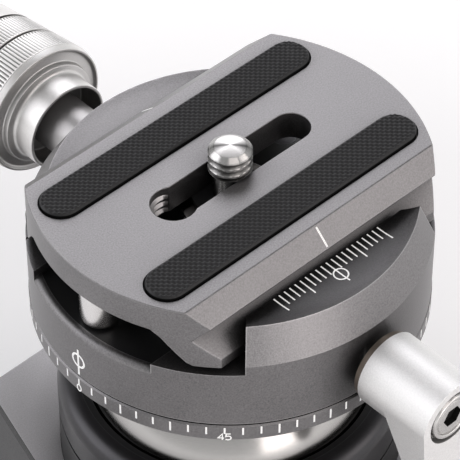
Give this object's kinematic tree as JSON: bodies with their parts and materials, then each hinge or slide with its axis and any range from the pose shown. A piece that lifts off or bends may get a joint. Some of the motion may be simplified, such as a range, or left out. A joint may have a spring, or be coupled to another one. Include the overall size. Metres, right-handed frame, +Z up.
{
  "type": "low profile ball head",
  "caption": "Low tripod ball head: chrome ball in a square housing under a panning quick release clamp, with a knob, a lever and a rubber padded sliding camera plate.",
  "frame": {"origin": "centre of the tripod thread on the underside of the base", "axes": "X along the plate's slot, +Y towards the clamp knob, +Z up along the pan axis"},
  "size_m": [0.0841, 0.1061, 0.0899],
  "materials": {
    "titanium_grey": "bead blasted, grey anodised",
    "silver": "fine bead blasted, clear anodised",
    "black_metal": "black, fine texture",
    "chrome": "polished chrome",
    "steel": "turned steel",
    "brass": "turned brass",
    "rubber": "woven pattern rubber",
    "black_plastic": "matt black",
    "white_plastic": "natural acetal"
  },
  "bodies": {
    "base": {"pan_base": "titanium_grey", "thread_insert": "steel", "pan_washer": "black_plastic", "pan_retainer": "steel", "retainer_screws": "steel"},
    "housing": {"housing": "black_metal", "top_cover": "titanium_grey", "cover_screws": "steel", "collar_seal": "black_plastic", "collar": "titanium_grey", "ball_liner": "black_plastic", "spindle_bush": "brass"},
    "seat": {"ball_seat": "white_plastic"},
    "ball": {"ball": "chrome", "stem": "steel", "pan_ring": "titanium_grey", "glide_ring": "black_plastic", "stem_clip": "steel"},
    "clamp": {"clamp_body": "titanium_grey", "channel_plate": "black_metal", "channel_screws": "steel", "guide_pins": "steel"},
    "jaw": {"movable_jaw": "titanium_grey"},
    "clamp_knob": {"clamp_knob": "silver", "draw_screw": "steel", "knob_cap": "silver"},
    "lever": {"lever": "silver", "lever_washer": "brass", "lever_screw": "steel", "lever_stud": "steel"},
    "pan_shoe": {"pan_lock_shoe": "brass"},
    "plate": {"plate": "titanium_grey", "pad_front": "rubber", "pad_rear": "rubber", "stop_pins": "chrome"},
    "screw_clip": {"screw_clip": "black_plastic"},
    "camera_screw": {"camera_screw": "steel"},
    "main_knob": {"main_knob": "silver", "main_knob_grip": "rubber", "main_knob_cap": "silver", "lock_spindle": "steel"},
    "plunger": {"lock_plunger": "steel"},
    "base_knob": {"pan_knob": "silver", "pan_lock_screw": "steel"},
    "base_shoe": {"base_shoe": "brass"}
  },
  "joints": [
    {"name": "base_pan", "type": "hinge", "parent": "base", "child": "housing", "pos_m": [0, 0, 0.0065], "axis": [0, 0, 1], "continuous": true},
    {"name": "ball_swivel", "type": "hinge", "parent": "housing", "child": "seat", "pos_m": [0, 0, 0.0385], "axis": [0, 0, 1], "continuous": true},
    {"name": "ball_tilt", "type": "hinge", "parent": "seat", "child": "ball", "pos_m": [0, 0, 0.0385], "axis": [1, 0, 0], "range_deg": [-33, 33]},
    {"name": "clamp_pan", "type": "hinge", "parent": "ball", "child": "clamp", "pos_m": [0, 0, 0.0644], "axis": [0, 0, 1], "continuous": true},
    {"name": "jaw_slide", "type": "slide", "parent": "clamp", "child": "jaw", "axis": [0, 1, 0], "range_m": [0, 0.003]},
    {"name": "clamp_knob_turn", "type": "hinge", "parent": "jaw", "child": "clamp_knob", "pos_m": [0, 0.048, 0.0693], "axis": [0, 1, 0], "range_deg": [0, 720]},
    {"name": "lever_turn", "type": "hinge", "parent": "clamp", "child": "lever", "pos_m": [0, -0.037, 0.0692], "axis": [0, 1, 0], "range_deg": [-30, 90]},
    {"name": "pan_shoe_slide", "type": "slide", "parent": "clamp", "child": "pan_shoe", "axis": [0, 1, 0], "range_m": [-0.0001, 0.00025]},
    {"name": "plate_slide", "type": "slide", "parent": "clamp", "child": "plate", "axis": [1, 0, 0], "range_m": [-0.01, 0.01]},
    {"name": "screw_slide", "type": "slide", "parent": "plate", "child": "screw_clip", "axis": [1, 0, 0], "range_m": [-0.01, 0.01]},
    {"name": "camera_screw_turn", "type": "hinge", "parent": "screw_clip", "child": "camera_screw", "pos_m": [0, 0, 0.0858], "axis": [0, 0, 1], "continuous": true},
    {"name": "main_knob_turn", "type": "hinge", "parent": "housing", "child": "main_knob", "pos_m": [-0.045, 0, 0.02], "axis": [1, 0, 0], "range_deg": [0, 270]},
    {"name": "plunger_slide", "type": "slide", "parent": "housing", "child": "plunger", "axis": [1, 0, 0], "range_m": [0, 0.0012]},
    {"name": "base_knob_turn", "type": "hinge", "parent": "housing", "child": "base_knob", "pos_m": [0, -0.037, 0.0098], "axis": [0, 1, 0], "range_deg": [0, 180]},
    {"name": "base_shoe_slide", "type": "slide", "parent": "housing", "child": "base_shoe", "axis": [0, 1, 0], "range_m": [0, 0.0006]}
  ],
  "couplings": [
    {"joint": "jaw_slide", "follows": "clamp_knob_turn", "m_per_rad": 0.00019894},
    {"joint": "pan_shoe_slide", "follows": "lever_turn", "m_per_rad": 0.00012732},
    {"joint": "plunger_slide", "follows": "main_knob_turn", "m_per_rad": 0.00023873},
    {"joint": "base_shoe_slide", "follows": "base_knob_turn", "m_per_rad": 0.00011141}
  ]
}
